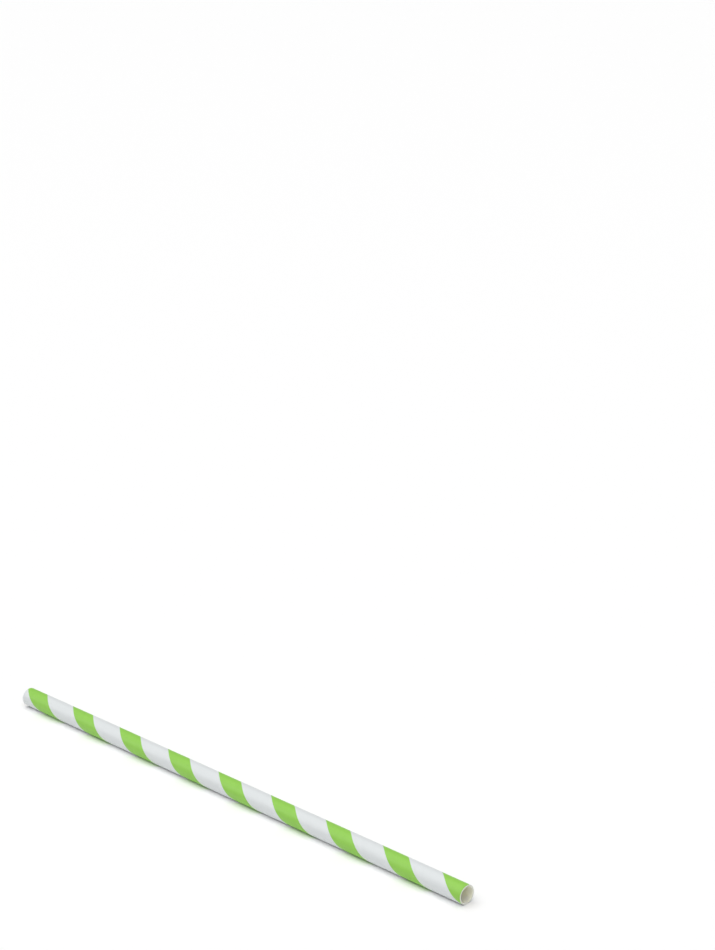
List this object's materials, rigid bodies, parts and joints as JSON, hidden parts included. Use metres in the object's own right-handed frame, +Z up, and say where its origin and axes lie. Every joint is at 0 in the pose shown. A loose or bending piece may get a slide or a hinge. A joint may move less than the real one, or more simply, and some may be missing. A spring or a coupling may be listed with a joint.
{
  "type": "paper drinking straw",
  "caption": "Straight round drinking straw wound from paper strip, open at both square-cut ends, white with a green stripe that spirals round it.",
  "frame": {"origin": "on the table, under the middle of the lying straw", "axes": "+X along the straw's axis, +Z up from the table that it lies on"},
  "size_m": [0.203, 0.0062, 0.0062],
  "materials": {
    "printed_paper": "satin, white printed paper outside and plain paper in the bore"
  },
  "bodies": {
    "root": {"straw_tube": "printed_paper"}
  },
  "joints": []
}
